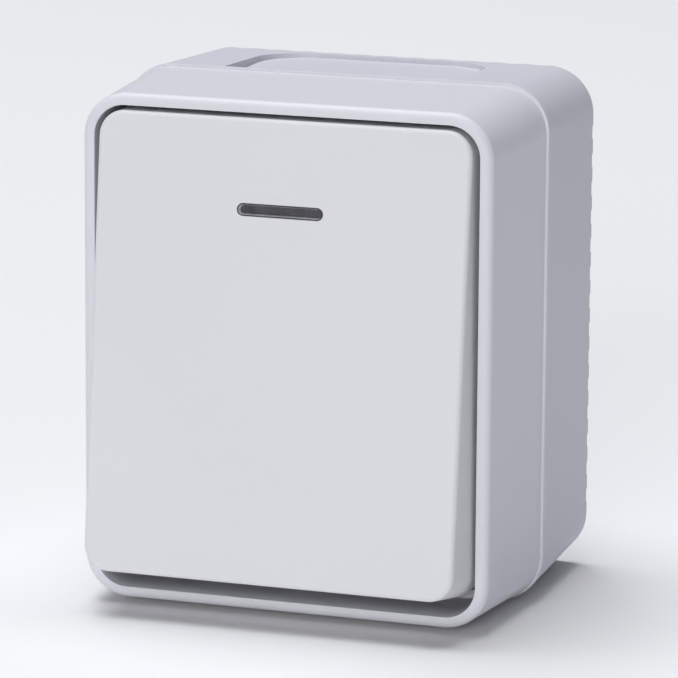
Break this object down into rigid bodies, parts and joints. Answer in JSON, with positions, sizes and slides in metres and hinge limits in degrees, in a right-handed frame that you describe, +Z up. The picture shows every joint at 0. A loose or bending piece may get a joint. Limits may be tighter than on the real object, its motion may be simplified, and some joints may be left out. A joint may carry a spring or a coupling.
{
  "type": "outdoor rocker switch",
  "caption": "Outdoor surface-mounted rocker light switch: white weatherproof box and cover, wide rocker with a smoked indicator strip, sealed cable entry and a sprung seesaw contact.",
  "frame": {"origin": "centre of the housing's rear face, on the wall plane", "axes": "+Z up along the switch's height, +Y into the wall, so the rocker faces -Y; +X to the viewer's right"},
  "size_m": [0.07, 0.0586, 0.0826],
  "materials": {
    "box_plastic": "satin",
    "cover_plastic": "satin",
    "rocker_plastic": "satin",
    "smoked_lens": "glossy",
    "seal_rubber": "matte",
    "grommet_rubber": "matte",
    "screw_steel": "zinc plated",
    "base_plastic": "matte",
    "frame_plastic": "matte",
    "terminal_brass": "stamped",
    "contact_silver": "polished",
    "seesaw_brass": "stamped",
    "cradle_plastic": "satin",
    "plunger_plastic": "satin",
    "spring_steel": "drawn",
    "lamp_plastic": "matte",
    "lamp_lens": "clear",
    "lead_metal": "tinned"
  },
  "bodies": {
    "housing": {"rear_box": "box_plastic", "front_cover": "cover_plastic", "box_gasket": "seal_rubber", "mechanism_gasket": "seal_rubber", "cable_grommet": "grommet_rubber", "cover_screws": "screw_steel", "mechanism_screws": "screw_steel", "frame_screws": "screw_steel", "terminal_screws": "screw_steel", "mechanism_base": "base_plastic", "mechanism_frame": "frame_plastic", "terminal_upper": "terminal_brass", "terminal_lower": "terminal_brass", "terminal_common": "terminal_brass", "terminal_neutral": "terminal_brass", "fixed_contact_tips": "contact_silver", "lamp_module": "lamp_plastic", "lamp_dome": "lamp_lens", "lamp_leads": "lead_metal"},
    "rocker_button": {"rocker": "rocker_plastic", "indicator_lens": "smoked_lens", "rocker_cradle": "cradle_plastic", "plunger_spring": "spring_steel"},
    "plunger_pin": {"plunger": "plunger_plastic"},
    "seesaw": {"contact_seesaw": "seesaw_brass", "moving_contact_tips": "contact_silver"}
  },
  "joints": [
    {"name": "rocker_tilt", "type": "hinge", "parent": "housing", "child": "rocker_button", "pos_m": [0, -0.03714, 0], "axis": [1, 0, 0], "range_deg": [0, 12.4]},
    {"name": "seesaw_tilt", "type": "hinge", "parent": "housing", "child": "seesaw", "pos_m": [0, -0.01914, 0], "axis": [1, 0, 0], "range_deg": [-12.4, 0]},
    {"name": "plunger_slide", "type": "slide", "parent": "rocker_button", "child": "plunger_pin", "axis": [0, -0.9942, 0.108], "range_m": [0, 0.001], "stiffness_N_per_m": 300, "springref_m": -0.003, "deforming": ["plunger_spring"]}
  ],
  "couplings": [
    {"joint": "seesaw_tilt", "follows": "rocker_tilt", "ratio": -1}
  ]
}
